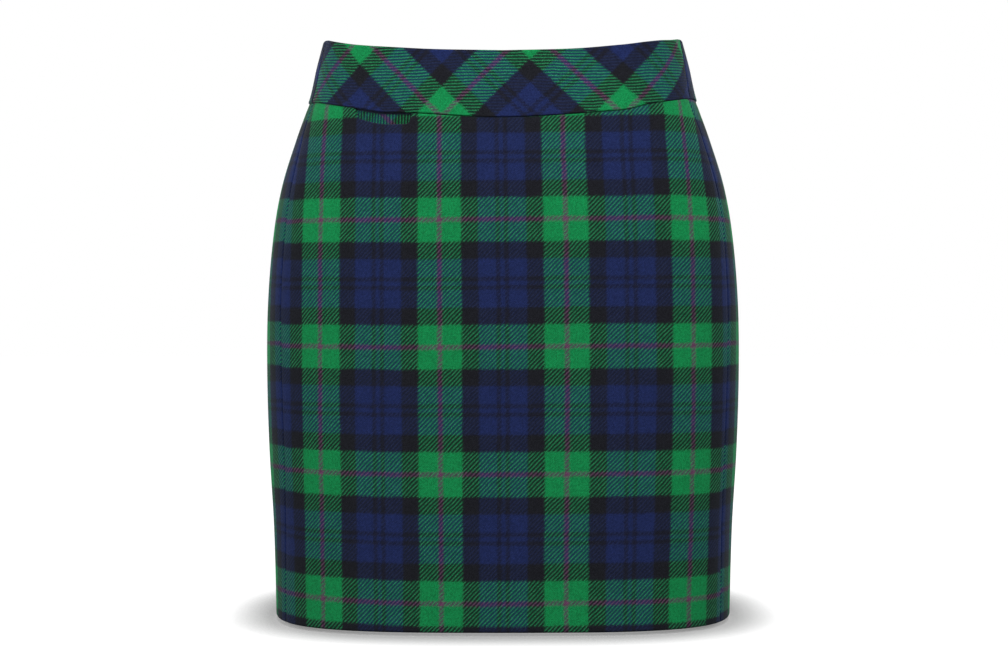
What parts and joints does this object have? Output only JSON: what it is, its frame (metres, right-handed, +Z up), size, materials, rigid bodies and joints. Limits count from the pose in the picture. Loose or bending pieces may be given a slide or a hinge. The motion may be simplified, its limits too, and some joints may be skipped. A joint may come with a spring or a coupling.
{
  "type": "pencil skirt",
  "caption": "Short tartan wool pencil skirt with a shaped waistband, ticket pocket and concealed back zip, filled out as worn.",
  "frame": {"origin": "middle of the waist opening, level with the top of the waistband at the sides, where the wearer holds the skirt up", "axes": "+Z up, -Y towards the front of the wearer, +X to the right of the front view"},
  "size_m": [0.354, 0.2414, 0.4377],
  "materials": {
    "tartan_wool": "brushed wool twill in a blue, black and green tartan with a fine purple line",
    "tartan_bias": "the same tartan twill cut on the bias",
    "zip_tape": "woven navy tape",
    "zip_metal": "navy enamel"
  },
  "bodies": {
    "skirt": {"front_panel": "tartan_wool", "back_panel_left": "tartan_wool", "back_panel_right": "tartan_wool", "waistband_front": "tartan_bias", "waistband_back_left": "tartan_bias", "waistband_back_right": "tartan_bias", "ticket_pocket_facing": "tartan_bias", "zip_tape_left": "zip_tape", "zip_tape_right": "zip_tape", "zip_slider": "zip_metal", "zip_bottom_stop": "zip_metal"},
    "pull_tab": {"zip_pull_tab": "zip_metal"}
  },
  "joints": [
    {"name": "pull_tab_swing", "type": "hinge", "parent": "skirt", "child": "pull_tab", "pos_m": [0, 0.101, -0.00426], "axis": [1, 0, 0], "range_deg": [0, 150]}
  ]
}
